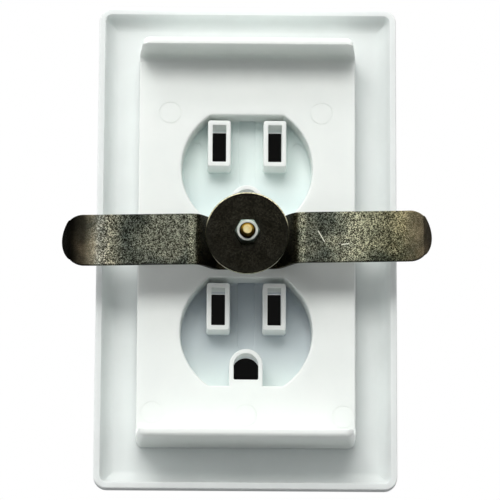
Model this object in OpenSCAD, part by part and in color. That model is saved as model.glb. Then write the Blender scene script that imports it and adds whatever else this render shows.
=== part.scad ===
// Imitation duplex-outlet wall cover held by a spring-loaded turn latch.
// +Z is up on the wall, -Y is the room side and +Y goes into the wall.
// The origin is on the latch screw's axis, in the wall surface that the plate's rim rests on.

/* [Wall plate] */
// Width of the wall plate
plate_w = 69.85; // [66:0.05:80]
// Height of the wall plate
plate_h = 114.3; // [110:0.1:125]
// Depth of the plate from the wall surface to its front face
plate_depth = 6.2; // [6:0.1:7.5]
// Thickness of the plate's front wall
plate_floor = 1.8; // [1.6:0.1:2.4]
// Width of the rim that rests on the wall
rim_w = 1.45; // [1.2:0.05:2]
// Radius of the plate's corners, seen from the front
plate_corner_r = 3; // [2.5:0.1:5]
// Radius of the rounding along the plate's front edges
front_edge_r = 3; // [1:0.1:3.5]
// Height of the plate's middle above the latch screw
plate_rise = 1.2; // [0:0.1:1.5]

/* [Receptacle insert] */
// Width of the insert block
block_w = 50.5; // [46:0.1:52]
// Height of the insert block, over both locating lips
block_h = 94; // [92.5:0.1:98]
// Radius of the block's corners
block_corner_r = 1.5; // [1:0.1:3]
// How far the insert's web stands into the wall, past the wall surface
web_level = 1.6; // [1:0.1:2]
// Thickness of the insert's web, skirt and lips
insert_wall = 1.8; // [1.5:0.1:2]
// Height of the locating lips above the web
lip_h = 10.7; // [8:0.1:11]
// How far each lip end leans in over its height
lip_draft = 0.9; // [0:0.1:1.5]
// Distance between the middles of the two receptacle faces
face_pitch = 38.9; // [38:0.1:40]
// Radius inside a receptacle face's hollow
recess_r = 15.3; // [14.8:0.1:15.6]
// Half-height inside a hollow, between its flats
recess_flat = 12.7; // [12:0.1:12.9]
// Wall around a hollow, which shows as the face's edge from the front
face_wall = 1.5; // [1.2:0.1:1.7]
// How far the faces stand proud of the plate's front
face_proud = 0.2; // [0.1:0.1:0.8]

/* [Openings in a face] */
// Distance between the two blade slots
slot_spacing = 13; // [12.5:0.1:13.2]
// Height of the slots' middle above the face's middle
slot_rise = 5.9; // [5.5:0.1:6.2]
// Width of a blade slot
slot_w = 3.2; // [2.5:0.1:3.5]
// Height of a blade slot
slot_h = 8.9; // [7:0.1:9]
// Wall of the sleeve around a slot
sleeve_wall = 1.05; // [0.8:0.05:1.2]
// Width of the ground opening
ground_w = 5.7; // [5:0.1:6]
// Height of the ground opening
ground_h = 6.2; // [6:0.1:7]
// Distance from the face's middle down to the ground opening's flat bottom
ground_drop = 11.3; // [10.8:0.1:11.4]
// Wall of the collar around the ground opening
ground_wall = 1; // [0.8:0.05:1.2]

/* [Latch] */
// Length of the strap, tip to tip
strap_l = 85; // [80:0.1:86]
// Width of the strap
strap_w = 11.9; // [10:0.05:13]
// Thickness of the strap
strap_t = 0.8; // [0.6:0.1:1]
// Gap between the wall surface and the strap's arms, which is the board's thickness
board_gap = 12.8; // [12.8:0.1:16]
// Half-length of the strap's flat middle
strap_middle = 7.8; // [6:0.1:9]
// Distance from the screw to each shoulder, where an arm starts
strap_shoulder = 11.6; // [10.5:0.1:13]
// Radius of the strap's bowed ends
strap_end_r = 7.2; // [7:0.1:9]
// Radius of the corners where the bowed ends meet the straight sides
strap_corner_r = 4.4; // [2.5:0.1:4.5]
// Length of each tip that curls away from the wall
tip_curl_l = 8; // [4:0.5:12]
// How far the latch stands off level
latch_angle = 1.2; // [-3:0.1:3]
// Height of the hub that carries the latch above the wall surface
hub_top = 6; // [5:0.1:6.5]
// Radius of the hub
hub_r = 5; // [4:0.1:6]
// Radius of the retaining washer
washer_r = 9.55; // [8:0.05:10]
// Thickness of the retaining washer
washer_t = 1; // [0.8:0.1:1.6]
// Length of the spring between the strap and the retaining washer
spring_l = 10.6; // [8:0.1:12]
// Radius of the spring, to the middle of its wire
spring_r = 3.4; // [2.8:0.1:4]
// Number of the spring's turns
spring_turns = 7; // [5:1:8]

/* [Hidden] */

eps = 0.01;
arc_fn = 96;
hull_fn = 32;

// metric M3 hardware
thread_r = 1.5;
running_gap = 0.08;
thread_gap = 0.025;
nut_flats = 5;
nut_t = 2.4;
nut_chamfer = 0.3;
head_r = 3;
head_cone = 1.5;
head_dome = 0.8;
drive_w = 0.8;
drive_depth = 1;
tip_past_nut = 1.3;
tip_chamfer = 0.35;
bearing_r = 3.5;
bearing_t = 0.5;
stack_gap = 0.05;
wire_r = 0.42;
wire_sides = 10;
rings_per_turn = 22;
closed_turns = 1;

// fits between the two mouldings
face_gap = 0.15;
rounding_steps = 6;

plate_front = -plate_depth;
plate_floor_level = plate_front + plate_floor;
face_front = plate_front - face_proud;
recess_floor = face_front + face_wall;
lip_top = web_level + lip_h;
face_r = recess_r + face_wall;
face_flat = recess_flat + face_wall;
tip_rise = 0.8;
tip_steps = 8;

// levels of the stack on the screw
bearing_front = hub_top + stack_gap;
strap_front = bearing_front + bearing_t + stack_gap;
strap_back = strap_front + strap_t;
strap_reach = board_gap + strap_t + tip_rise + eps;
washer_front = strap_back + spring_l;
nut_front = washer_front + washer_t;
nut_back = nut_front + nut_t;
screw_tip = nut_back + tip_past_nut;

// A flat outline in X and Z, given thickness from one Y level to another
module between(front, back) {
    translate([0, back, 0])
        rotate([90, 0, 0])
            linear_extrude(height = back - front)
                children();
}

// A round bar along Y
module bar(radius, front, back) {
    translate([0, back, 0])
        rotate([90, 0, 0])
            cylinder(r = radius, h = back - front, $fn = arc_fn);
}

// A cone along Y
module cone(front_r, back_r, front, back) {
    translate([0, back, 0])
        rotate([90, 0, 0])
            cylinder(r1 = back_r, r2 = front_r, h = back - front, $fn = arc_fn);
}

module rounded_rectangle(width, height, radius, sides = arc_fn) {
    square([width - 2 * radius, height], center = true);
    square([width, height - 2 * radius], center = true);
    for (sx = [-1, 1], sy = [-1, 1])
        translate([sx * (width / 2 - radius), sy * (height / 2 - radius)])
            circle(radius, $fn = sides);
}

// A receptacle face's outline: a circle with a flat above and below
module face_outline(radius, flat) {
    intersection() {
        circle(radius, $fn = arc_fn);
        square([3 * radius, 2 * flat], center = true);
    }
}

// Places its children at both receptacle faces
module at_faces() {
    for (side = [-1, 1])
        translate([0, side * face_pitch / 2])
            children();
}

module slot_outlines(wall = 0) {
    for (side = [-1, 1])
        translate([side * slot_spacing / 2, slot_rise])
            square([slot_w + 2 * wall, slot_h + 2 * wall], center = true);
}

// An arch over a flat bottom: the ground opening, or the collar around it
module ground_outline(wall, bottom) {
    width = ground_w + 2 * wall;
    spring_line = -ground_drop + ground_h - ground_w / 2;
    translate([0, spring_line])
        circle(width / 2, $fn = arc_fn);
    translate([-width / 2, -bottom])
        square([width, spring_line + bottom]);
}

// The plate's outer body, with its front edges rounded over
module plate_body() {
    hull()
        for (step = [0:rounding_steps]) {
            turn = 90 * step / rounding_steps;
            inset = front_edge_r * (1 - cos(turn));
            level = plate_front + front_edge_r * (1 - sin(turn));
            between(level, 0)
                rounded_rectangle(
                    plate_w - 2 * inset, plate_h - 2 * inset, plate_corner_r, hull_fn
                );
        }
}

module wall_plate() {
    color("white")
        difference() {
            translate([0, 0, plate_rise])
                plate_body();
            translate([0, 0, plate_rise])
                between(plate_floor_level, eps)
                    rounded_rectangle(
                        plate_w - 2 * rim_w, plate_h - 2 * rim_w, plate_corner_r - rim_w
                    );
            between(plate_front - eps, 0)
                at_faces()
                    face_outline(face_r + face_gap, face_flat + face_gap);
            bar(thread_r + running_gap, plate_front - eps, 0);
            cone(
                head_r + running_gap, thread_r + running_gap, plate_front, plate_front + head_cone
            );
        }
}

// One locating lip, drawn in X and Y and standing on the web; its ends lean in
module lip_blank() {
    half = block_w / 2;
    polygon([
        [-half, 0], [half, 0],
        [half, web_level], [half - lip_draft, lip_top],
        [lip_draft - half, lip_top], [-half, web_level]
    ]);
}

module locating_lips() {
    intersection() {
        between(0, lip_top)
            difference() {
                rounded_rectangle(block_w, block_h, block_corner_r);
                square([block_w + 2 * eps, block_h - 2 * insert_wall], center = true);
            }
        translate([0, 0, -block_h / 2])
            linear_extrude(height = block_h)
                lip_blank();
    }
}

module insert_tray() {
    difference() {
        between(plate_floor_level, web_level)
            rounded_rectangle(block_w, block_h, block_corner_r);
        between(plate_floor_level - eps, web_level - insert_wall)
            square([block_w - 2 * insert_wall, block_h - 2 * insert_wall], center = true);
    }
}

module receptacle_insert() {
    color("ghostwhite")
        difference() {
            union() {
                difference() {
                    union() {
                        translate([0, 0, plate_rise]) {
                            insert_tray();
                            locating_lips();
                        }
                        between(face_front, web_level)
                            at_faces()
                                face_outline(face_r, face_flat);
                    }
                    between(recess_floor, web_level + eps)
                        at_faces()
                            face_outline(recess_r, recess_flat);
                }
                between(recess_floor - eps, web_level)
                    at_faces() {
                        slot_outlines(sleeve_wall);
                        ground_outline(ground_wall, face_flat - eps);
                    }
                bar(hub_r, plate_floor_level, hub_top);
            }
            between(face_front - eps, web_level + eps)
                at_faces() {
                    slot_outlines();
                    ground_outline(0, ground_drop);
                }
            bar(thread_r + running_gap, plate_floor_level - eps, hub_top + eps);
        }
}

module latch_screw() {
    color("goldenrod")
        difference() {
            union() {
                bar(thread_r, plate_front + head_cone, screw_tip - tip_chamfer);
                cone(thread_r, thread_r - tip_chamfer, screw_tip - tip_chamfer, screw_tip);
                cone(head_r, thread_r, plate_front, plate_front + head_cone);
                screw_dome();
            }
            translate([-head_r - eps, plate_front - head_dome - eps, -drive_w / 2])
                cube([2 * (head_r + eps), drive_depth, drive_w]);
        }
}

// The low dome of the screw's oval head
module screw_dome() {
    dome_r = (head_r * head_r + head_dome * head_dome) / (2 * head_dome);
    intersection() {
        translate([0, plate_front - head_dome + dome_r, 0])
            sphere(dome_r, $fn = arc_fn);
        bar(head_r, plate_front - head_dome - eps, plate_front);
    }
}

module plain_washer(radius, front, thickness) {
    difference() {
        bar(radius, front, front + thickness);
        bar(thread_r + running_gap, front - eps, front + thickness + eps);
    }
}

module bearing_washer() {
    color("silver")
        plain_washer(bearing_r, bearing_front, bearing_t);
}

module retaining_washer() {
    color("dimgray")
        plain_washer(washer_r, washer_front, washer_t);
}

// Front side of the strap's right half, from the screw outwards: middle, leg, arm and curled tip
function strap_front_side() =
    let (arm_end = strap_l / 2 - tip_curl_l)
    concat(
        [
            [strap_middle, strap_front],
            [strap_shoulder - strap_t / 2, board_gap],
            [arm_end, board_gap]
        ],
        [
            for (step = [1:tip_steps])
                let (share = step / tip_steps)
                [arm_end + tip_curl_l * share, board_gap + tip_rise * share * share]
        ]
    );

// Back side of the same half, from the tip inwards
function strap_back_side() =
    let (arm_end = strap_l / 2 - tip_curl_l)
    concat(
        [
            for (step = [tip_steps:-1:0])
                let (share = step / tip_steps)
                [arm_end + tip_curl_l * share, board_gap + strap_t + tip_rise * share * share]
        ],
        [
            [strap_shoulder - strap_t, board_gap + strap_t],
            [strap_middle - strap_t / 2, strap_back]
        ]
    );

// The strap seen from its edge; the left half is the right half mirrored
module strap_profile() {
    right = concat(strap_front_side(), strap_back_side());
    last = len(right) - 1;
    left = [for (i = [last:-1:0]) [-right[i][0], right[i][1]]];
    polygon(concat(right, left));
}

// The strap seen from the wall side: straight sides, bowed ends and rounded corners
module strap_plan() {
    end_x = strap_l / 2 - strap_end_r;
    corner_y = strap_w / 2 - strap_corner_r;
    reach = strap_end_r - strap_corner_r;
    corner_x = end_x + sqrt(reach * reach - corner_y * corner_y);
    bow_half = corner_y * strap_end_r / reach;
    square([2 * corner_x, strap_w], center = true);
    for (side = [-1, 1]) {
        for (edge = [-1, 1])
            translate([side * corner_x, edge * corner_y])
                circle(strap_corner_r, $fn = arc_fn);
        intersection() {
            translate([side * end_x, 0])
                circle(strap_end_r, $fn = arc_fn);
            translate([side * strap_l / 2, 0])
                square([strap_l / 2, 2 * bow_half], center = true);
        }
    }
}

module latch_strap() {
    color("darkkhaki")
        rotate([0, latch_angle, 0])
            difference() {
                intersection() {
                    translate([0, 0, -strap_w / 2])
                        linear_extrude(height = strap_w)
                            strap_profile();
                    between(0, strap_reach)
                        strap_plan();
                }
                bar(thread_r + running_gap, strap_front - eps, strap_back + eps);
            }
}

// Height of the spring's wire after a number of turns; the end turns lie closed
function coil_level(turn) =
    let (
        wire = 2 * wire_r,
        open_turns = spring_turns - 2 * closed_turns,
        pitch = (spring_l - wire - 2 * closed_turns * wire) / open_turns
    )
    turn < closed_turns ? wire * turn :
    turn > spring_turns - closed_turns ? spring_l - wire - wire * (spring_turns - turn) :
    closed_turns * wire + pitch * (turn - closed_turns);

// One point on the ring of the wire at a given turn
function wire_point(turn, corner) =
    let (
        around = 360 * turn,
        about = 360 * corner / wire_sides,
        reach = spring_r + wire_r * cos(about)
    )
    [
        reach * cos(around),
        strap_back + wire_r + coil_level(turn) + wire_r * sin(about),
        reach * sin(around)
    ];

module latch_spring() {
    rings = spring_turns * rings_per_turn;
    points = [
        for (ring = [0:rings], corner = [0:wire_sides - 1])
            wire_point(ring / rings_per_turn, corner)
    ];
    sides = [
        for (ring = [0:rings - 1], corner = [0:wire_sides - 1])
            let (
                next = (corner + 1) % wire_sides,
                here = ring * wire_sides,
                there = here + wire_sides
            )
            [here + corner, here + next, there + next, there + corner]
    ];
    first_end = [for (corner = [wire_sides - 1:-1:0]) corner];
    last_end = [for (corner = [0:wire_sides - 1]) rings * wire_sides + corner];
    color("lightgray")
        polyhedron(points, concat([first_end], sides, [last_end]), convexity = 10);
}

module hex_nut() {
    corner_r = nut_flats / sqrt(3);
    color("gainsboro")
        difference() {
            intersection() {
                between(nut_front, nut_back)
                    circle(corner_r, $fn = 6);
                union() {
                    bar(corner_r, nut_front, nut_back - nut_chamfer);
                    cone(corner_r, nut_flats / 2, nut_back - nut_chamfer, nut_back);
                }
            }
            bar(thread_r + thread_gap, nut_front - eps, nut_back + eps);
        }
}

wall_plate();
receptacle_insert();
latch_screw();
bearing_washer();
latch_strap();
latch_spring();
retaining_washer();
hex_nut();
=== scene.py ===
import math

import bmesh
import bpy
from mathutils import Matrix, Vector

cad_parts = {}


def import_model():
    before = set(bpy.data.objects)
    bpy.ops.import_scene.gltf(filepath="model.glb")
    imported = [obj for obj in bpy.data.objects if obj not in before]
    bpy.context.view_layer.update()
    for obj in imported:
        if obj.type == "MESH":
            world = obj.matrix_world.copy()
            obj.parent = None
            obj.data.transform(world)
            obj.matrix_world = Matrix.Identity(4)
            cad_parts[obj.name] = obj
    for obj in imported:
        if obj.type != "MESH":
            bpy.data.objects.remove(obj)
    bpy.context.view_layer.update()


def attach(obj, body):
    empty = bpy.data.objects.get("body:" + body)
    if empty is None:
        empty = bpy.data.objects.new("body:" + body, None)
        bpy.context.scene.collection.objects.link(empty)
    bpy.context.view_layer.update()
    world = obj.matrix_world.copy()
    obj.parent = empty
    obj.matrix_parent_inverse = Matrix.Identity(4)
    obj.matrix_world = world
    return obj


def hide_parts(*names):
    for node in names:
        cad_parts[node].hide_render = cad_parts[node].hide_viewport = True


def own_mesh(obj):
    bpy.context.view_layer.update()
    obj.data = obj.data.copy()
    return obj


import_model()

MM = 0.001
TAU = 2 * math.pi

# sizes of the object in millimetres, as the frame has them
PLATE_W, PLATE_H, PLATE_RISE = 69.85, 114.3, 1.2
PLATE_FRONT, PLATE_FLOOR = -6.2, -4.4
RIM_W, PLATE_CORNER, FRONT_EDGE = 1.45, 3.0, 3.0
BLOCK_W, BLOCK_H, BLOCK_CORNER = 50.5, 94.0, 1.5
WEB, WALL = 1.6, 1.8
LIP_H, LIP_DRAFT = 10.7, 0.9
FACE_PITCH, FACE_R, FACE_FLAT, FACE_WALL = 38.9, 15.3, 12.7, 1.5
FACE_FRONT = -6.4
RECESS_FLOOR = FACE_FRONT + FACE_WALL
FACE_GAP = 0.15
SLOT_SPACING, SLOT_RISE, SLOT_W, SLOT_H, SLEEVE = 13.0, 5.9, 3.2, 8.9, 1.05
GROUND_W, GROUND_H, GROUND_DROP, GROUND_WALL = 5.7, 6.2, 11.3, 1.0
COLLAR_MERGE = 2.2
HUB_R, HUB_TOP = 5.0, 6.0
THREAD_R, RUNNING = 1.5, 0.08
HEAD_R, HEAD_CONE, HEAD_DOME, DRIVE_W, DRIVE_DEEP = 3.0, 1.5, 0.8, 0.8, 1.0
THREAD_START, THREAD_PITCH, THREAD_DEEP, TIP_CHAMFER, TIP_TAPER = 2.0, 0.5, 0.28, 0.45, 1.15
STRAP_L, STRAP_W, STRAP_T, STRAP_END_R, STRAP_CORNER = 85.0, 11.9, 0.8, 7.2, 4.4
STRAP_FRONT, STRAP_ARM, STRAP_MIDDLE, STRAP_SHOULDER = 6.6, 12.8, 7.8, 11.6
TIP_L, TIP_RISE, LATCH_ANGLE = 8.0, 0.8, 1.2
SPRING_R, WIRE_R, SPRING_TURNS = 3.4, 0.42, 7
SPRING_FRONT, SPRING_BACK = 7.4, 18.0
SPRING_L = SPRING_BACK - SPRING_FRONT
WASHER_R, WASHER_T = 9.55, 1.0
BEARING_FRONT, BEARING_R, BEARING_T = 6.05, 3.5, 0.5
NUT_FLATS, NUT_T = 5.0, 2.4
NUT_FRONT = SPRING_BACK + WASHER_T
SCREW_TIP = NUT_FRONT + NUT_T + 1.3

OVER = 1.0  # how far a cutting tool reaches past what it cuts
SUNK = 0.5  # how far an added solid reaches into what it stands on
TINY = 1e-8  # metres; mesh points nearer than this are one point
WELD = 2e-7  # metres; the same, after a boolean


# ---------------------------------------------------------------- outlines
# An outline is a closed list of (x, z) in millimetres; inset shrinks it.

def arc(cx, cz, radius, start, stop, steps):
    return [
        (cx + radius * math.cos(start + (stop - start) * i / steps),
         cz + radius * math.sin(start + (stop - start) * i / steps))
        for i in range(steps + 1)
    ]


def rounded_rect(width, height, radius, steps=8):
    def outline(inset=0.0):
        w, h = width / 2 - inset, height / 2 - inset
        r = max(radius - inset, 0.02)
        points = []
        for k, (sx, sz) in enumerate(((1, 1), (-1, 1), (-1, -1), (1, -1))):
            points += arc(sx * (w - r), sz * (h - r), r, k * TAU / 4, (k + 1) * TAU / 4, steps)
        return points
    return outline


def disc(radius, steps=96):
    def outline(inset=0.0):
        return arc(0, 0, radius - inset, 0, TAU * (steps - 1) / steps, steps - 1)
    return outline


def face_shape(radius, flat, corner=0.8, side_steps=28, corner_steps=5):
    """A circle with a flat above and below, its four corners rounded."""
    def outline(inset=0.0):
        r, f = radius - inset, flat - inset
        c = max(corner - inset, 0.05)
        corner_z = f - c
        corner_x = math.sqrt((r - c) ** 2 - corner_z ** 2)
        meet = math.atan2(corner_z, corner_x)
        points = []
        points += arc(0, 0, r, -meet, meet, side_steps)
        points += arc(corner_x, corner_z, c, meet, TAU / 4, corner_steps)[1:]
        points += arc(-corner_x, corner_z, c, TAU / 4, TAU / 2 - meet, corner_steps)
        points += arc(0, 0, r, TAU / 2 - meet, TAU / 2 + meet, side_steps)[1:]
        points += arc(-corner_x, -corner_z, c, TAU / 2 + meet, TAU * 3 / 4, corner_steps)[1:]
        points += arc(corner_x, -corner_z, c, TAU * 3 / 4, TAU - meet, corner_steps)[:-1]
        return points
    return outline


def arch(width, height, drop, steps=24):
    """The ground opening: an arch over a flat bottom with small corners."""
    def outline(inset=0.0):
        half = width / 2 - inset
        spring = -drop + height - width / 2
        base = -drop + inset
        c = 0.35
        points = arc(0, spring, half, 0, TAU / 2, steps)
        points += arc(-half + c, base + c, c, TAU / 2, TAU * 3 / 4, 4)
        points += arc(half - c, base + c, c, TAU * 3 / 4, TAU, 4)
        return points
    return outline


def moved(outline, dx, dz):
    return lambda inset=0.0: [(x + dx, z + dz) for x, z in outline(inset)]


# ---------------------------------------------------------------- meshes

def edge(level, radius, toward, steps=5):
    """(y, inset) levels of a rounded edge that ends at level; toward is +1 if the body is at higher Y."""
    turns = [TAU / 4 * i / steps for i in range(steps + 1)]
    return [(level + toward * radius * (1 - math.sin(turn)), radius * (1 - math.cos(turn))) for turn in turns]


def mesh_object(name, verts, faces):
    mesh = bpy.data.meshes.new(name)
    mesh.from_pydata([(x * MM, y * MM, z * MM) for x, y, z in verts], [], faces)
    bm = bmesh.new()
    bm.from_mesh(mesh)
    bmesh.ops.remove_doubles(bm, verts=bm.verts, dist=TINY)
    bmesh.ops.dissolve_degenerate(bm, edges=bm.edges, dist=TINY)
    bmesh.ops.recalc_face_normals(bm, faces=bm.faces)
    bm.to_mesh(mesh)
    bm.free()
    obj = bpy.data.objects.new(name, mesh)
    bpy.context.scene.collection.objects.link(obj)
    return obj


def rings_object(name, rings, closed=False):
    """Joins rings of equal length by quads; the ends are capped unless the rings close on themselves."""
    count = len(rings[0])
    verts = [p for ring in rings for p in ring]
    faces = []
    last = len(rings) if closed else len(rings) - 1
    for i in range(last):
        a, b = i * count, ((i + 1) % len(rings)) * count
        for k in range(count):
            n = (k + 1) % count
            faces.append((a + k, a + n, b + n, b + k))
    if not closed:
        faces.append(tuple(range(count - 1, -1, -1)))
        faces.append(tuple((len(rings) - 1) * count + k for k in range(count)))
    return mesh_object(name, verts, faces)


def loft(name, outline, levels):
    """A closed solid through (y, inset) levels of one outline."""
    return rings_object(name, [[(x, y, z) for x, z in outline(inset)] for y, inset in levels])


def slab(name, outline, front, back, front_r=0.0, back_r=0.0, steps=5, draft=0.0):
    """A solid between two Y levels, its front and back edges rounded; draft is the inset at its front."""
    near = edge(front, front_r, 1, steps) if front_r else [(front, 0.0)]
    far = edge(back, back_r, -1, steps) if back_r else [(back, 0.0)]
    return loft(name, outline, [(y, inset + draft) for y, inset in sorted(near)] + sorted(far))


def lathe(name, profile, sides=96):
    """Turns a closed profile of (radius, y) about the Y axis."""
    rings = [
        [(r * math.cos(TAU * k / sides), y, r * math.sin(TAU * k / sides)) for r, y in profile]
        for k in range(sides)
    ]
    return rings_object(name, rings, closed=True)


def combine(base, others, operation):
    """Boolean of base with each of the others, which are used up."""
    for other in others:
        modifier = base.modifiers.new("bool", "BOOLEAN")
        modifier.operation = operation
        modifier.solver = "MANIFOLD"
        modifier.object = other
    graph = bpy.context.evaluated_depsgraph_get()
    mesh = bpy.data.meshes.new_from_object(base.evaluated_get(graph))
    base.modifiers.clear()
    base.data = mesh
    for other in others:
        bpy.data.objects.remove(other)
    return base


def regions(bm):
    """A number for each face, shared by faces that lie flat beside each other, and each region's area."""
    flat = 0.999998  # cosine of the angle below which two faces are one flat face
    region, areas = [-1] * len(bm.faces), []
    for start in bm.faces:
        if region[start.index] >= 0:
            continue
        region[start.index], stack, area = len(areas), [start], 0.0
        while stack:
            face = stack.pop()
            area += face.calc_area()
            for side in face.edges:
                for other in side.link_faces:
                    if region[other.index] < 0 and other.normal.dot(start.normal) > flat:
                        region[other.index] = len(areas)
                        stack.append(other)
        areas.append(area)
    return region, areas


def finish_mesh(obj, angle=32):
    """Smooth shading that keeps sharp edges and leaves large flat faces flat."""
    bm = bmesh.new()
    bm.from_mesh(obj.data)
    bmesh.ops.remove_doubles(bm, verts=bm.verts, dist=WELD)
    bmesh.ops.dissolve_degenerate(bm, edges=bm.edges, dist=WELD)
    bmesh.ops.delete(bm, geom=[v for v in bm.verts if not v.link_faces], context="VERTS")
    bm.faces.ensure_lookup_table()
    bm.faces.index_update()
    bm.normal_update()
    region, areas = regions(bm)
    limit = math.cos(math.radians(angle))
    normals = []
    for face in bm.faces:
        face.smooth = True
        for corner in face.loops:
            total, seen = Vector(), set()
            for other in corner.vert.link_faces:
                key = region[other.index]
                if key not in seen and other.normal.dot(face.normal) > limit:
                    seen.add(key)
                    total += other.normal * areas[key]
            normals.append(total.normalized() if total.length > 0 else face.normal.copy())
    bm.to_mesh(obj.data)
    bm.free()
    obj.data.normals_split_custom_set(normals)
    return obj


def place(obj, body, slot, material, *nodes):
    """Gives a piece its material and its body, and hides the CAD nodes that it stands for; slot is not used.
    """
    obj.data.materials.clear()
    obj.data.materials.append(material)
    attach(obj, body)
    if nodes:
        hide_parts(*nodes)
    return obj


# ---------------------------------------------------------------- materials

class Nodes:
    """Adds and links the nodes of one material. A value is a number, a colour or another node's socket."""

    def __init__(self, name):
        self.material = bpy.data.materials.new(name)
        self.material.use_nodes = True
        self.tree = self.material.node_tree
        self.shader = self.tree.nodes["Principled BSDF"]
        self.position = self.add("ShaderNodeTexCoord").outputs["Object"]

    def add(self, kind, **inputs):
        node = self.tree.nodes.new(kind)
        for key, value in inputs.items():
            self.set(node, key.replace("_", " "), value)
        return node

    def set(self, node, key, value):
        socket = node.inputs[key]
        if isinstance(value, bpy.types.NodeSocket):
            self.tree.links.new(value, socket)
        else:
            socket.default_value = value

    def surface(self, **values):
        for key, value in values.items():
            self.set(self.shader, key.replace("_", " "), value)

    def noise(self, scale, detail=2.0, roughness=0.5, vector=None, distortion=0.0):
        node = self.add("ShaderNodeTexNoise", Scale=scale, Detail=detail, Roughness=roughness,
                        Distortion=distortion)
        self.tree.links.new(vector or self.position, node.inputs["Vector"])
        return node.outputs["Fac"]

    def stretched(self, x, y, z):
        node = self.add("ShaderNodeMapping")
        node.inputs["Scale"].default_value = (x, y, z)
        self.tree.links.new(self.position, node.inputs["Vector"])
        return node.outputs["Vector"]

    def ramp(self, value, stops):
        node = self.add("ShaderNodeValToRGB")
        self.tree.links.new(value, node.inputs["Fac"])
        elements = node.color_ramp.elements
        while len(elements) < len(stops):
            elements.new(0.5)
        for element, (at, colour) in zip(elements, stops):
            element.position = at
            element.color = (*colour, 1)
        return node.outputs["Color"]

    def math(self, operation, a, b=0.5):
        node = self.tree.nodes.new("ShaderNodeMath")
        node.operation = operation
        for i, value in enumerate((a, b)):
            if isinstance(value, bpy.types.NodeSocket):
                self.tree.links.new(value, node.inputs[i])
            else:
                node.inputs[i].default_value = value
        return node.outputs[0]

    def mix(self, a, b, kind="MULTIPLY", share=1.0):
        node = self.tree.nodes.new("ShaderNodeMix")
        node.data_type = "RGBA"
        node.blend_type = kind
        self.set(node, "Factor", share)
        self.tree.links.new(a, node.inputs[6])
        self.tree.links.new(b, node.inputs[7])
        return node.outputs[2]

    def between(self, value, low, high, to_low, to_high):
        node = self.add("ShaderNodeMapRange")
        self.tree.links.new(value, node.inputs["Value"])
        for key, number in (("From Min", low), ("From Max", high), ("To Min", to_low), ("To Max", to_high)):
            node.inputs[key].default_value = number
        return node.outputs["Result"]

    def line(self, x, z, slope, length, width=0.14):
        """1 along a thin straight line in the X and Z plane and 0 beside it; in millimetres and degrees."""
        node = self.add("ShaderNodeMapping")
        node.vector_type = "TEXTURE"
        node.inputs["Location"].default_value = (x * MM, 0, z * MM)
        node.inputs["Rotation"].default_value = (0, -math.radians(slope), 0)
        node.inputs["Scale"].default_value = (length / 2 * MM, 1, width * MM)
        self.tree.links.new(self.position, node.inputs["Vector"])
        split = self.add("ShaderNodeSeparateXYZ")
        self.tree.links.new(node.outputs["Vector"], split.inputs[0])
        ends = self.between(self.math("ABSOLUTE", split.outputs["X"]), 0.7, 1.0, 1.0, 0.0)
        sides = self.between(self.math("ABSOLUTE", split.outputs["Z"]), 0.3, 1.0, 1.0, 0.0)
        return self.math("MULTIPLY", ends, sides)

    def radius(self, most):
        """Distance from the latch's axis, as a share of a given radius in millimetres."""
        node = self.add("ShaderNodeVectorMath")
        node.operation = "LENGTH"
        self.tree.links.new(self.stretched(1, 0, 1), node.inputs[0])
        return self.between(node.outputs["Value"], 0.0, most * MM, 0.0, 1.0)

    def bump(self, height, strength, distance, below=None):
        node = self.add("ShaderNodeBump", Strength=strength, Distance=distance)
        self.tree.links.new(height, node.inputs["Height"])
        if below is not None:
            self.tree.links.new(below, node.inputs["Normal"])
        return node.outputs["Normal"]


def srgb(hexa):
    """A linear colour from a hexadecimal one."""
    out = []
    for i in (0, 2, 4):
        c = int(hexa[i:i + 2], 16) / 255
        out.append(c / 12.92 if c <= 0.04045 else ((c + 0.055) / 1.055) ** 2.4)
    return tuple(out)


def moulded_plastic(name, base, shade, gloss, shade_hollows=False):
    """White, slightly translucent plastic: faint mottling, orange peel, flow streaks in the gloss, and, if
    asked, painted shade on the floors of the hollows.
    """
    n = Nodes(name)
    colour = n.ramp(n.noise(90, 4, 0.6), [(0.3, srgb(shade)), (0.7, srgb(base))])
    if shade_hollows:
        colour = paint_hollow_shade(n, colour)
    streak = n.noise(25, 4, 0.6, n.stretched(1, 1, 0.4), 0.4)
    rough = n.between(streak, 0.3, 0.7, gloss - 0.02, gloss + 0.02)
    peel = n.bump(n.noise(1400, 2), 0.10, 0.00004)
    waves = n.bump(n.noise(220, 1), 0.08, 0.0002, peel)
    n.surface(Base_Color=colour, Roughness=rough, Normal=waves, IOR=1.46,
              Subsurface_Weight=0.7, Subsurface_Radius=(1.0, 1.0, 1.0), Subsurface_Scale=0.0017)
    return n.material


def paint_hollow_shade(n, colour):
    """Greys the floors of the hollows by height, set until they matched the photograph's shade.

    It stands in for light that the lamps here don't reproduce, and is not known to be the plastic's colour.
    """
    split = n.add("ShaderNodeSeparateXYZ")
    n.tree.links.new(n.position, split.inputs[0])
    y, floor = split.outputs["Y"], RECESS_FLOOR
    deep = n.math("MULTIPLY", n.between(y, (floor + 2.0) * MM, (floor + 0.3) * MM, 0.0, 1.0),
                  n.between(y, (floor - 0.9) * MM, (floor - 0.5) * MM, 0.0, 1.0))
    reach = 40 * MM
    height = n.between(split.outputs["Z"], -reach, reach, 0.0, 1.0)
    # painted shade: greyest on the upper half of the lower hollow, where the washer and strap shade it, and
    # faint in the upper hollow
    cast = n.ramp(height, [(at, srgb(tone)) for at, tone in (
        (0.08, "F4F8FA"), (0.14, "EDF1F4"), (0.225, "DADEE4"), (0.34, "D0D3DB"), (0.49, "D0D3DB"),
        (0.53, "F0F5F8"), (0.66, "EDF3F6"), (0.75, "F4F9FA"), (0.85, "EEF2F4"))])
    return n.mix(colour, cast, "MULTIPLY", deep)


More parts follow.
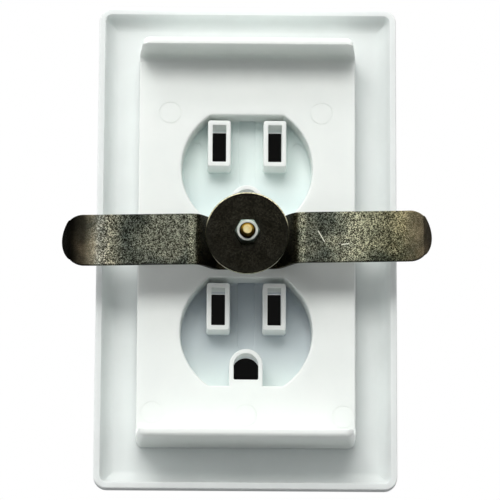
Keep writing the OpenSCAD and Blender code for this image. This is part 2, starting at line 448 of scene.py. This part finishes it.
def strap_metal(name):
    """Zinc-plated spring steel: a pebbled two-tone grain, smoother tips, stains and two scratches, with
    painted reflections and shade along it that darken the tips.
    """
    n = Nodes(name)
    grain = n.noise(4300, 2, 0.8)
    coarse = n.noise(900, 3, 0.6)
    stain = n.noise(110, 4, 0.6, None, 0.6)
    speck = n.math("ADD", n.math("MULTIPLY", grain, 0.82), n.math("MULTIPLY", coarse, 0.18))
    split = n.add("ShaderNodeSeparateXYZ")
    n.tree.links.new(n.position, split.inputs[0])
    reach = 43 * MM
    along = n.between(split.outputs["X"], -reach, reach, 0.0, 1.0)

    tint = n.ramp(speck, [(at, srgb(tone)) for at, tone in (
        (0.42, "1C1C1A"), (0.49, "545450"), (0.54, "BDBEBA"), (0.62, "FFFFFF"))])
    even = n.ramp(along, [(at, (share, share, share)) for at, share in (
        (0.0, 0.8), (0.05, 0.6), (0.10, 0.0), (0.88, 0.0), (0.925, 0.7), (1.0, 0.9))])
    smooth = n.ramp(coarse, [(0.3, srgb("A5A59A")), (0.7, srgb("B9B9AE"))])
    tint = n.mix(tint, smooth, "MIX", even)
    cast = n.ramp(stain, [(0.33, srgb("929A98")), (0.48, srgb("CDD0C8")), (0.62, srgb("FAF9EC"))])
    # tone along the strap, set against the photograph: part of it is the photograph's own light,
    # so the dark step beside the washer and the dark tip stay where they are when the light changes
    # painted light along the strap: painted highlights beside the bends and near the tips, painted shade on
    # the dark step beside the washer, and painted reflection darkening the curled tips; the rest is the
    # plating's own tone
    ends = n.ramp(along, [(at, srgb(tone)) for at, tone in (
        (0.0, "8E8176"), (0.026, "A89A8E"), (0.06, "CDBFA8"), (0.092, "E8DFBC"), (0.124, "B4B29A"),
        (0.172, "D8D8C2"), (0.226, "FFFFEC"), (0.30, "B6B8AE"), (0.340, "BDBEB2"), (0.350, "FFFFEC"),
        (0.358, "FFFFEC"), (0.368, "6A6454"), (0.632, "6A6454"), (0.642, "FFFFEC"), (0.650, "FFFFEC"),
        (0.660, "BCBEB4"), (0.75, "B0B3AB"), (0.83, "B4B7AE"), (0.865, "F6F2E2"), (0.895, "FFFFFF"),
        (0.91, "EADFD2"), (0.935, "857A71"), (0.965, "2E2A27"))])
    colour = n.mix(n.mix(tint, cast), ends)
    for scratch in ((-17.0, 0.5, 60, 3.6), (-22.5, -1.3, -8, 2.2)):
        bare = n.ramp(n.line(*scratch), [(0.3, (0.0, 0.0, 0.0)), (0.6, (0.85, 0.85, 0.75))])
        colour = n.mix(colour, bare, "SCREEN")

    rough = n.between(coarse, 0.3, 0.7, 0.32, 0.44)
    pebbles = n.bump(coarse, 0.25, 0.00012, n.bump(grain, 0.7, 0.00012))
    n.surface(Base_Color=colour, Metallic=1.0, Roughness=rough, Normal=pebbles)
    return n.material


def dark_mirror(name):
    """Dark bright plating on a stamped washer: near mirror, with faint smudges and pits."""
    n = Nodes(name)
    smudge = n.noise(260, 4, 0.7, None, 0.5)
    dust = n.noise(2600, 2, 0.7)
    tint = n.mix(n.ramp(smudge, [(0.3, srgb("B9B49C")), (0.7, srgb("DAD6C2"))]),
                 n.ramp(dust, [(0.4, (0.45, 0.45, 0.42)), (0.6, (1.0, 1.0, 0.95))]))
    rough = n.between(smudge, 0.3, 0.75, 0.09, 0.14)
    normal = n.bump(n.noise(1700, 3, 0.7), 0.05, 0.00005)
    n.surface(Base_Color=tint, Metallic=1.0, Roughness=rough, Normal=normal)
    return n.material


def bright_metal(name, low, high, rough_low, rough_high, rings=()):
    """Bright metal with faint mottling; rings are (radius in mm, colour) of painted light and shade about the
    axis.
    """
    n = Nodes(name)
    mottle = n.noise(400, 3, 0.6)
    tint = n.ramp(mottle, [(0.35, srgb(low)), (0.65, srgb(high))])
    if rings:
        most = 1.05 * rings[-1][0]
        tint = n.mix(tint, n.ramp(n.radius(most), [(r / most, srgb(colour)) for r, colour in rings]))
    rough = n.between(n.noise(900, 2), 0.3, 0.7, rough_low, rough_high)
    normal = n.bump(n.noise(3000, 2), 0.12, 0.00004)
    n.surface(Base_Color=tint, Metallic=1.0, Roughness=rough, Normal=normal)
    return n.material


# ---------------------------------------------------------------- the two mouldings

def at_faces(make):
    """What make(z) lists, for the lower face and then the upper one."""
    return [made for z in (-FACE_PITCH / 2, FACE_PITCH / 2) for made in make(z)]


def plate_piece():
    """The plate: a rounded shell, hollowed from behind, with holes for the faces and the screw."""
    outline = rounded_rect(PLATE_W, PLATE_H, PLATE_CORNER, 10)
    body = slab("wall_plate_shell", moved(outline, 0, PLATE_RISE), PLATE_FRONT, 0.0, FRONT_EDGE, 0.25, 10)
    inner = rounded_rect(PLATE_W - 2 * RIM_W, PLATE_H - 2 * RIM_W, PLATE_CORNER - RIM_W, 10)
    # (depth, inset) of the wall's inner side, which runs into the floor in one sweep
    sweep = ((0.0, -0.12), (0.05, -0.03), (0.2, 0.06), (0.5, 0.15), (1.0, 0.27), (1.6, 0.42), (2.2, 0.62),
             (2.8, 0.92), (3.3, 1.28), (3.75, 1.72), (4.1, 2.2), (4.3, 2.65), (-PLATE_FLOOR, 3.2))
    cavity = loft("cavity", moved(inner, 0, PLATE_RISE),
                  [(OVER, sweep[0][1])] + [(-depth, inset) for depth, inset in sweep])
    around = FACE_WALL + FACE_GAP
    holes = at_faces(lambda z: [slab(
        "hole", moved(face_shape(FACE_R + around, FACE_FLAT + around), 0, z), PLATE_FRONT - OVER, OVER)])
    head_r, shank_r = HEAD_R + RUNNING, THREAD_R + RUNNING
    screw = lathe("screw_hole", [
        (0, PLATE_FRONT - OVER), (head_r, PLATE_FRONT - OVER), (head_r, PLATE_FRONT),
        (shank_r, PLATE_FRONT + HEAD_CONE), (shank_r, OVER), (0, OVER)])
    return combine(body, [cavity, *holes, screw], "DIFFERENCE")


def lip(side):
    """A locating lip: it leans in at its ends, with rounded corners and a rolled outer tip edge."""
    tip, steps = WEB + LIP_H, 10
    outer_r, inner_r, end_r, root_r = 0.95, 0.25, 1.3, 1.6
    levels = [WEB - OVER] + [WEB + root_r * k / 8 for k in range(9)]
    levels += [WEB + root_r + (LIP_H - end_r - root_r) * k / 4 for k in range(1, 5)]
    levels += [tip - end_r + end_r * math.sin(TAU / 4 * k / steps) for k in range(1, steps + 1)]

    def drawn_in(y, radius):
        """How far a rounded edge of the tip has drawn in at level y."""
        over = y - (tip - radius)
        return radius - math.sqrt(max(radius ** 2 - over ** 2, 0)) if over > 0 else 0

    rings = []
    for y in levels:
        up = max(y - WEB, 0.0)
        low = max(root_r - up, 0.0)
        half = BLOCK_W / 2 - LIP_DRAFT * up / LIP_H - drawn_in(y, end_r)
        outer = BLOCK_H / 2 - drawn_in(y, outer_r)
        inner = BLOCK_H / 2 - WALL + drawn_in(y, inner_r) - (root_r - math.sqrt(root_r ** 2 - low ** 2))
        points = [(-half, inner), (half, inner)]
        points += arc(half - BLOCK_CORNER, outer - BLOCK_CORNER, BLOCK_CORNER, 0, TAU / 4, 8)
        points += arc(BLOCK_CORNER - half, outer - BLOCK_CORNER, BLOCK_CORNER, TAU / 4, TAU / 2, 8)
        rings.append([(x, y, side * max(z, inner) + PLATE_RISE) for x, z in points])
    return rings_object("lip", rings)


def insert_piece():
    """The receptacle insert: a hollow block with two faces, its lips, sleeves, collars and hub."""
    body = slab("receptacle_insert_body", moved(rounded_rect(BLOCK_W, BLOCK_H, BLOCK_CORNER), 0, PLATE_RISE),
                PLATE_FLOOR, WEB, 0, 0.35)
    room = rounded_rect(BLOCK_W - 2 * WALL, BLOCK_H - 2 * WALL, 0.6)
    hollow = slab("hollow", moved(room, 0, PLATE_RISE), PLATE_FLOOR - OVER, WEB - WALL)
    body = combine(body, [hollow], "DIFFERENCE")
    face = face_shape(FACE_R + FACE_WALL, FACE_FLAT + FACE_WALL)
    faces = at_faces(lambda z: [slab("face", moved(face, 0, z), FACE_FRONT, WEB - 0.4, 0.5)])
    body = combine(body, faces + [lip(1), lip(-1)], "UNION")
    body = combine(body, at_faces(lambda z: [recess(z)]), "DIFFERENCE")
    body = combine(body, at_faces(sleeves) + at_faces(collar) + [
        slab("hub", disc(HUB_R), WEB - OVER, HUB_TOP, 0, 0.3)], "UNION")
    shank_r = THREAD_R + RUNNING
    bore = lathe("bore", [(0, PLATE_FLOOR - 3 * OVER), (shank_r, PLATE_FLOOR - 3 * OVER),
                          (shank_r, HUB_TOP + OVER), (0, HUB_TOP + OVER)])
    return combine(body, at_faces(slots) + at_faces(ground) + [bore] + ejector_marks(), "DIFFERENCE")


def recess(z):
    """The hollow behind one face, with a rounded rim and a small fillet at its floor."""
    rim = [(WEB + OVER, -0.45), (WEB, -0.45), (WEB - 0.06, -0.25), (WEB - 0.19, -0.1), (WEB - 0.4, -0.02),
           (WEB - 0.6, 0.0)]
    foot = [(RECESS_FLOOR + 0.5, 0.12), (RECESS_FLOOR + 0.25, 0.19), (RECESS_FLOOR + 0.07, 0.37),
            (RECESS_FLOOR, 0.62)]
    return loft("recess", moved(face_shape(FACE_R, FACE_FLAT, 1.2), 0, z), rim + foot)


def beside_each_other(name, outline, z, *levels):
    """Two slabs of one outline, at the places of a face's two slots."""
    return [slab(name, moved(outline, k * SLOT_SPACING / 2, z + SLOT_RISE), *levels) for k in (-1, 1)]


def sleeves(z):
    outline = rounded_rect(SLOT_W + 2 * SLEEVE, SLOT_H + 2 * SLEEVE, 0.55, 5)
    return beside_each_other("sleeve", outline, z, RECESS_FLOOR - SUNK, WEB, 0, 0.18, 4, -0.12)


def slots(z):
    return beside_each_other("slot", rounded_rect(SLOT_W, SLOT_H, 0.2, 4), z, FACE_FRONT - OVER, WEB + OVER)


def collar(z):
    """The wall round a ground opening, which runs into the hollow's lower side."""
    outline = arch(GROUND_W + 2 * GROUND_WALL, GROUND_H + GROUND_WALL + COLLAR_MERGE,
                   GROUND_DROP + COLLAR_MERGE)
    return [slab("collar", moved(outline, 0, z), RECESS_FLOOR - SUNK, WEB - 0.02, 0, 0.2, 4, -0.1)]


def ground(z):
    """The ground opening, a little wider toward the front."""
    return [loft("ground", moved(arch(GROUND_W, GROUND_H, GROUND_DROP), 0, z),
                 [(FACE_FRONT - OVER, -0.35), (FACE_FRONT, -0.35), (WEB - 0.3, 0.0), (WEB + OVER, -0.1)])]


def ejector_marks():
    """Shallow marks that the ejector pins left on the web, and marks and a channel in each hollow."""
    deep, outer_r, pin_r, small_r = 0.13, 2.6, 2.45, 1.2
    marks = []
    for x, z in ((18.0, 32.6), (-17.4, 32.6), (21.6, -38.6), (0.0, -39.2), (-22.4, -39.4)):
        ring = loft("mark", moved(disc(outer_r, 48), x, z), [(WEB - deep, 0.0), (WEB + 0.5, -0.02)])
        pin = loft("pin", moved(disc(pin_r, 48), x, z), [(WEB - 2 * deep, 0.0), (WEB + OVER, -0.02)])
        marks.append(combine(ring, [pin], "DIFFERENCE"))
    for z in (FACE_PITCH / 2, -FACE_PITCH / 2):
        for x in (-11.8, 11.8):
            marks.append(loft("mark", moved(disc(small_r, 32), x, z + 6.4),
                              [(RECESS_FLOOR - 0.3, 0.0), (RECESS_FLOOR + OVER, 0.0)]))
        # a shallow channel between the sleeves, round at its lower end
        channel = moved(rounded_rect(4.1, 17.6, 2.0), 0, z + 5.2)
        marks.append(loft("channel", channel, [
            (RECESS_FLOOR - 0.2, 0.15), (RECESS_FLOOR - 0.1, 0.0), (RECESS_FLOOR + OVER, -0.1)]))
    return marks


# ---------------------------------------------------------------- the latch

def bend(x):
    """Y of the strap's middle surface at x from the screw: flat, then a soft step, and a curled tip."""
    x = abs(x)
    low, high = STRAP_FRONT + STRAP_T / 2, STRAP_ARM + STRAP_T / 2
    foot, shoulder, soft = STRAP_MIDDLE - 0.2, STRAP_SHOULDER - 0.6, 0.55

    def past(t):
        """0 before t = 0 and t after it, with a soft corner."""
        return soft * math.log1p(math.exp(min(t / soft, 60)))

    y = low + (high - low) / (shoulder - foot) * (past(x - foot) - past(x - shoulder))
    tip = x - (STRAP_L / 2 - TIP_L)
    return y + TIP_RISE * (tip / TIP_L) ** 2 if tip > 0 else y


def strap_outline(inset=0.0):
    """The strap laid flat: its ends are a flat arc with two tighter corners."""
    curl = 0.23  # bending adds this much to each end
    centre, corner_z = STRAP_L / 2 - STRAP_END_R - curl, STRAP_W / 2 - STRAP_CORNER
    corner_x = centre + math.sqrt((STRAP_END_R - STRAP_CORNER) ** 2 - corner_z ** 2)
    meet = math.atan2(corner_z, corner_x - centre)
    big, small = STRAP_END_R - inset, STRAP_CORNER - inset
    half = (arc(corner_x, -corner_z, small, -TAU / 4, -meet, 12) + arc(centre, 0, big, -meet, meet, 16)[1:-1]
            + arc(corner_x, corner_z, small, meet, TAU / 4, 12))
    return half + [(-x, -z) for x, z in half]


def strap_piece():
    """A flat strap with a hole, cut across so that it can bend, then bent and turned a little."""
    half_t, hole_r = STRAP_T / 2, THREAD_R + RUNNING
    flat = slab("latch_strap_spring_steel", strap_outline, -half_t, half_t, 0.16, 0.22, 4)
    hole = lathe("hole", [(0, -2), (hole_r, -2), (hole_r, 2), (0, 2)], 64)
    flat = combine(flat, [hole], "DIFFERENCE")
    bm = bmesh.new()
    bm.from_mesh(flat.data)
    # close cuts over the step, wide ones on the arm, and closer ones on the curled tip
    cuts = [start + gap * k for start, gap, count in ((6, 0.14, 56), (14, 1.5, 14), (34.5, 0.5, 16))
            for k in range(count)]
    for x in cuts + [-x for x in cuts] + [0.0]:
        bmesh.ops.bisect_plane(bm, geom=bm.verts[:] + bm.edges[:] + bm.faces[:], dist=1e-7,
                               plane_co=(x * MM, 0, 0), plane_no=(1, 0, 0))
    turn = Matrix.Rotation(math.radians(LATCH_ANGLE), 3, "Y")
    step = 0.02
    for v in bm.verts:
        x, across, z = v.co.x / MM, v.co.y / MM, v.co.z / MM
        slope = (bend(x + step) - bend(x - step)) / (2 * step)
        length = math.hypot(1, slope)
        # the middle surface stays on its path, and thickness goes along its normal
        v.co = turn @ Vector(((x - across * slope / length) * MM, (bend(x) + across / length) * MM, z * MM))
    bm.to_mesh(flat.data)
    bm.free()
    return flat


def spring_piece():
    """A round-wire compression spring whose first and last turns lie flat."""
    rings_per_turn, sides = 56, 18
    wire = 2 * WIRE_R
    pitch = (SPRING_L - 3 * wire) / (SPRING_TURNS - 2)
    rings = []
    for ring in range(SPRING_TURNS * rings_per_turn + 1):
        t = ring / rings_per_turn
        if t < 1:
            level = wire * t
        elif t > SPRING_TURNS - 1:
            level = SPRING_L - wire - wire * (SPRING_TURNS - t)
        else:
            level = wire + pitch * (t - 1)
        around = TAU * t
        middle = SPRING_FRONT + WIRE_R + level
        section = arc(SPRING_R, middle, WIRE_R, 0, TAU * (sides - 1) / sides, sides - 1)
        rings.append([(reach * math.cos(around), y, reach * math.sin(around)) for reach, y in section])
    return rings_object("latch_spring_coil", rings)


def ring_profile(outer, inner, front, back, outer_edge, inner_edge):
    """Section of a washer, with rounded outer and inner edges."""
    out, hole = outer - outer_edge, inner + inner_edge
    corners = ((out, front + outer_edge, outer_edge, -1, 6), (out, back - outer_edge, outer_edge, 0, 6),
               (hole, back - inner_edge, inner_edge, 1, 4), (hole, front + inner_edge, inner_edge, 2, 4))
    return [point for r, y, radius, quarter, steps in corners
            for point in arc(r, y, radius, quarter * TAU / 4, (quarter + 1) * TAU / 4, steps)]


def washer_piece():
    return lathe("retaining_washer_plated", ring_profile(
        WASHER_R, THREAD_R + RUNNING, SPRING_BACK, SPRING_BACK + WASHER_T, 0.33, 0.12), 128)


def bearing_piece():
    return lathe("bearing_washer_plain", ring_profile(
        BEARING_R, THREAD_R + RUNNING, BEARING_FRONT, BEARING_FRONT + BEARING_T, 0.12, 0.05), 72)


def nut_piece():
    """A hexagon whose corners are cut by a chamfer cone at both ends, with a countersunk threaded bore."""
    def hexagon(inset=0.0):
        corner = (NUT_FLATS / 2 - inset) / math.cos(TAU / 12)
        return [(corner * math.cos(TAU * k / 6), corner * math.sin(TAU * k / 6)) for k in range(6)]
    low, top = NUT_FRONT, NUT_FRONT + NUT_T
    blank = loft("hex_nut_plated", hexagon, [(low, 0), (top, 0)])
    rim, reach, drop = 2.32, 3.1, 0.45
    cone = lathe("cone", [(0, low), (rim, low), (reach, low + drop),
                          (reach, top - drop), (rim, top), (0, top)])
    nut = combine(blank, [cone], "INTERSECT")
    wide, narrow, sink = 1.85, 1.53, 0.32
    bore = lathe("bore", [(0, low - OVER), (wide, low - OVER), (wide, low), (narrow, low + sink),
                          (narrow, top - sink), (wide, top), (wide, top + OVER), (0, top + OVER)])
    return combine(nut, [bore], "DIFFERENCE")


def screw_piece():
    """A slotted oval-head screw with a rolled thread."""
    sides, axis_r = 48, 0.02
    crown = PLATE_FRONT - HEAD_DOME + 0.02

    def ring_at(radius, y):
        """One ring; radius is a number, or a function of the share of a turn."""
        at = radius if callable(radius) else lambda share: radius
        return [(at(k / sides) * math.cos(TAU * k / sides), y, at(k / sides) * math.sin(TAU * k / sides))
                for k in range(sides)]

    dome_r = (HEAD_R ** 2 + HEAD_DOME ** 2) / (2 * HEAD_DOME)
    profile = [(axis_r, crown)]
    for i in range(1, 15):
        r = HEAD_R * i / 14
        profile.append((min(r, HEAD_R - 0.03), crown + dome_r - math.sqrt(dome_r ** 2 - r ** 2)))
    profile += [(HEAD_R, PLATE_FRONT + 0.05), (HEAD_R - 0.02, PLATE_FRONT + 0.1),
                (THREAD_R, PLATE_FRONT + HEAD_CONE), (THREAD_R, THREAD_START)]
    rings = [ring_at(r, y) for r, y in profile]
    y = THREAD_START
    while y < SCREW_TIP:
        rings.append(ring_at(lambda share: thread_radius(y, share), y))
        y += THREAD_PITCH / 8
    end_r = THREAD_R - TIP_CHAMFER * TIP_TAPER
    rings += [ring_at(r, SCREW_TIP) for r in (end_r, end_r - 0.06, axis_r)]
    screw = rings_object("latch_screw_threaded", rings)
    drive = slab("drive", rounded_rect(2 * HEAD_R + 2, DRIVE_W, 0.02, 1),
                 PLATE_FRONT - HEAD_DOME - OVER, PLATE_FRONT - HEAD_DOME + DRIVE_DEEP)
    return combine(screw, [drive], "DIFFERENCE")


def thread_radius(y, share):
    """Radius of the rolled thread at a level and a share of a turn; it fades in, and the tip is chamfered."""
    crest = abs((y / THREAD_PITCH + share) % 1.0 - 0.5) * 2
    fade = min(1.0, y - THREAD_START)
    radius = THREAD_R - THREAD_DEEP * min(1.0, max(0.0, (crest - 0.12) / 0.76)) * fade
    return min(radius, THREAD_R - max(0.0, y - (SCREW_TIP - TIP_CHAMFER)) * TIP_TAPER)


# ---------------------------------------------------------------- camera, stage and light

ROLL, YAW, PITCH = math.radians(-0.42), math.radians(0.55), math.radians(-12.65)
DISTANCE, SHIFT_X, SHIFT_Y = 873.6, -0.80, 0.99
PIXELS_PER_MM, IMAGE_SIDE, SENSOR = 4.299, 500, 36
FILL = (0.36, 0.36, 0.365)  # light that comes from the camera's side


def camera():
    """The photograph's viewpoint: behind the plate and about 12.7 degrees below it."""
    rot = Matrix.Rotation(ROLL, 3, "Z") @ Matrix.Rotation(YAW, 3, "Y") @ Matrix.Rotation(PITCH, 3, "X")
    rot.transpose()
    to_row = Matrix(((-1, 0, 0), (0, 0, 1), (0, 1, 0)))
    right, up, back = (to_row @ rot @ Vector(v) for v in ((1, 0, 0), (0, 1, 0), (0, 0, 1)))
    place_at = to_row @ rot @ Vector((-SHIFT_X, -SHIFT_Y, DISTANCE)) + Vector((0, 0, PLATE_RISE))
    data = bpy.data.cameras.new("camera")
    data.sensor_width = SENSOR
    data.lens = PIXELS_PER_MM * DISTANCE * SENSOR / IMAGE_SIDE
    data.clip_start, data.clip_end = 0.05, 50
    obj = bpy.data.objects.new("camera", data)
    basis = Matrix((right, up, back)).transposed()
    obj.matrix_world = Matrix.Translation(place_at * MM) @ basis.to_4x4()
    bpy.context.scene.collection.objects.link(obj)
    bpy.context.scene.camera = obj


def stage_plane(name, width, depth, at, normal, colour, rough, emission=0.0):
    """A flat rectangle of the stage, with its middle and its normal."""
    mesh = bpy.data.meshes.new(name)
    w, d = width / 2, depth / 2
    mesh.from_pydata([(-w, -d, 0), (w, -d, 0), (w, d, 0), (-w, d, 0)], [], [(0, 1, 2, 3)])
    obj = bpy.data.objects.new(name, mesh)
    bpy.context.scene.collection.objects.link(obj)
    obj.rotation_mode = "QUATERNION"
    obj.rotation_quaternion = Vector(normal).to_track_quat("Z", "Y")
    obj.location = at
    n = Nodes(name)
    grain = n.noise(6, 3)
    tint = n.ramp(grain, [(0.3, tuple(c * 0.985 for c in colour)), (0.7, colour)])
    n.surface(Base_Color=tint, Roughness=rough)
    if emission:
        n.surface(Emission_Color=(*colour, 1), Emission_Strength=emission)
    mesh.materials.append(n.material)
    return obj


def area_light(name, size_x, size_y, at, power, colour):
    """A soft light that points at the origin."""
    data = bpy.data.lights.new(name, "AREA")
    data.shape = "RECTANGLE"
    data.size, data.size_y = size_x, size_y
    data.energy = power
    data.color = colour
    obj = bpy.data.objects.new(name, data)
    obj.location = at
    obj.rotation_mode = "QUATERNION"
    obj.rotation_quaternion = (-Vector(at)).to_track_quat("-Z", "Y")
    bpy.context.scene.collection.objects.link(obj)
    return obj


def world():
    """A white studio: white to the camera, dimmer light from its side, and dark below in reflections."""
    w = bpy.data.worlds.new("studio")
    w.use_nodes = True
    bpy.context.scene.world = w
    tree = w.node_tree
    tree.nodes.clear()
    link = tree.links.new
    out = tree.nodes.new("ShaderNodeOutputWorld")
    path = tree.nodes.new("ShaderNodeLightPath")
    coord = tree.nodes.new("ShaderNodeTexCoord")
    split = tree.nodes.new("ShaderNodeSeparateXYZ")
    tilt = tree.nodes.new("ShaderNodeMath")
    tilt.operation = "MULTIPLY_ADD"
    tilt.inputs[1].default_value = -0.25
    link(coord.outputs["Generated"], split.inputs[0])
    link(split.outputs["Z"], tilt.inputs[0])
    link(split.outputs["Y"], tilt.inputs[2])
    up = split.outputs["Z"]

    def graded(value, low, high, to_low, to_high):
        node = tree.nodes.new("ShaderNodeMapRange")
        node.interpolation_type = "SMOOTHSTEP"
        for key, number in (("From Min", low), ("From Max", high), ("To Min", to_low), ("To Max", to_high)):
            node.inputs[key].default_value = number
        link(value, node.inputs["Value"])
        return node.outputs["Result"]

    def glow(colour, strength=None):
        shader = tree.nodes.new("ShaderNodeBackground")
        shader.inputs["Color"].default_value = (*colour, 1)
        if strength is not None:
            link(strength, shader.inputs["Strength"])
        return shader.outputs[0]

    def choose(share, other, chosen):
        mix = tree.nodes.new("ShaderNodeMixShader")
        link(share, mix.inputs["Fac"])
        link(other, mix.inputs[1])
        link(chosen, mix.inputs[2])
        return mix.outputs[0]

    diffuse = choose(graded(tilt.outputs[0], -0.25, 0.45, 1.0, 0.0),
                     glow(FILL, graded(up, -0.85, 0.1, 0.3, 1.0)), glow((0.96, 0.96, 0.97)))
    glossy = choose(graded(up, 0.3, 0.62, 0.0, 1.0), glow((0.022, 0.022, 0.022)), glow((1.6, 1.58, 1.48)))
    reflected = choose(path.outputs["Is Glossy Ray"], diffuse, glossy)
    link(choose(path.outputs["Is Camera Ray"], reflected, glow((1, 1, 1))), out.inputs["Surface"])


def studio():
    """Pale floor, soft lights above and beside, and a black card that is seen only through the slots."""
    view = bpy.context.scene.view_settings
    view.view_transform = "Standard"
    view.look = "None"
    world()
    floor = stage_plane("floor", 8, 8, (0, 0, -0.32), (0, 0, 1), (0.86, 0.86, 0.85), 0.9, 0.3)
    floor.visible_diffuse = False
    floor.visible_glossy = False
    # painted shade: a black card stands in for the dark that the slots show
    sight = -bpy.context.scene.camera.location.normalized()
    stage_plane("slot_card", 0.09, 0.28, sight * 2.6, -sight, (0.004, 0.004, 0.004), 1.0)

    def above(degrees, reach, aside=0.0):
        """A place behind the wall plate at an angle above the level, and so far to the side."""
        angle = math.radians(degrees)
        return Vector((aside, math.cos(angle) * reach, math.sin(angle) * reach))

    # name, width, height, place, watts, colour
    diffuse_lights = (
        ("key", 0.9, 0.40, above(27, 1.15, 0.16), 8.7, (1.0, 0.995, 0.97)),
        ("high", 0.9, 0.2, above(50, 1.15, 0.3), 2.6, (1.0, 1.0, 1.0)),
        ("side", 0.5, 0.8, (0.95, 0.75, 0.05), 2.2, (1.0, 1.0, 1.0)),
        ("top", 1.2, 0.6, (0, 0.3, 1.3), 1.2, (0.97, 0.985, 1.0)),
    )
    for light in diffuse_lights:
        area_light(*light).visible_glossy = False
    area_light("softbox", 0.9, 0.45, above(38, 1.1), 3.6, (1.0, 0.99, 0.97)).visible_diffuse = False


# ---------------------------------------------------------------- the object

camera()
plate_plastic = moulded_plastic("plate_plastic_white", "E6EAE9", "E1E5E4", 0.36)
# True puts painted shade on the floors of the hollows
insert_plastic = moulded_plastic("insert_plastic_white", "F2F7F3", "EEF3F0", 0.32, True)

place(finish_mesh(plate_piece()), "cover", "plate_plastic", plate_plastic, "wall_plate")
place(finish_mesh(insert_piece()), "cover", "insert_plastic", insert_plastic, "receptacle_insert")
place(finish_mesh(strap_piece(), 40), "strap", "strap_steel",
      strap_metal("strap_plated_steel"), "latch_strap")
coil = place(finish_mesh(spring_piece(), 60), "latch", "spring_steel",
             bright_metal("spring_bright_steel", "8F9092", "B5B6B8", 0.25, 0.4), "latch_spring")
place(finish_mesh(washer_piece()), "latch", "washer_steel",
      dark_mirror("washer_dark_plate"), "retaining_washer")
place(finish_mesh(bearing_piece()), "latch", "bearing_steel",
      bright_metal("bearing_zinc", "9A9B98", "C2C3BF", 0.25, 0.4), "bearing_washer")
# the rings paint shade in the countersink (1.6 to 1.8 mm) and darken the chamfered corners outside the bright
# flat ring with painted reflection
nut_zinc = bright_metal("nut_bright_zinc", "E2EAE2", "FCFFFA", 0.34, 0.42, (
    (1.6, "5A4A28"), (1.8, "6E6040"), (1.9, "FFFFFF"), (2.3, "FFFFFF"), (2.42, "8C9894"), (3.0, "6E7A76")))
place(finish_mesh(nut_piece()), "latch", "nut_steel", nut_zinc, "hex_nut")
# the rings paint a highlight on the end of the screw's tip; beyond 1.08 mm the brass keeps a darker tone
brass = bright_metal("screw_brass", "F0D890", "FFF6CC", 0.42, 0.52, (
    (0.3, "FFFFFF"), (0.95, "FFFAE6"), (1.08, "A89250"), (1.5, "7E682C")))
place(finish_mesh(screw_piece(), 50), "latch", "screw_brass", brass, "latch_screw")
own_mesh(coil)

studio()
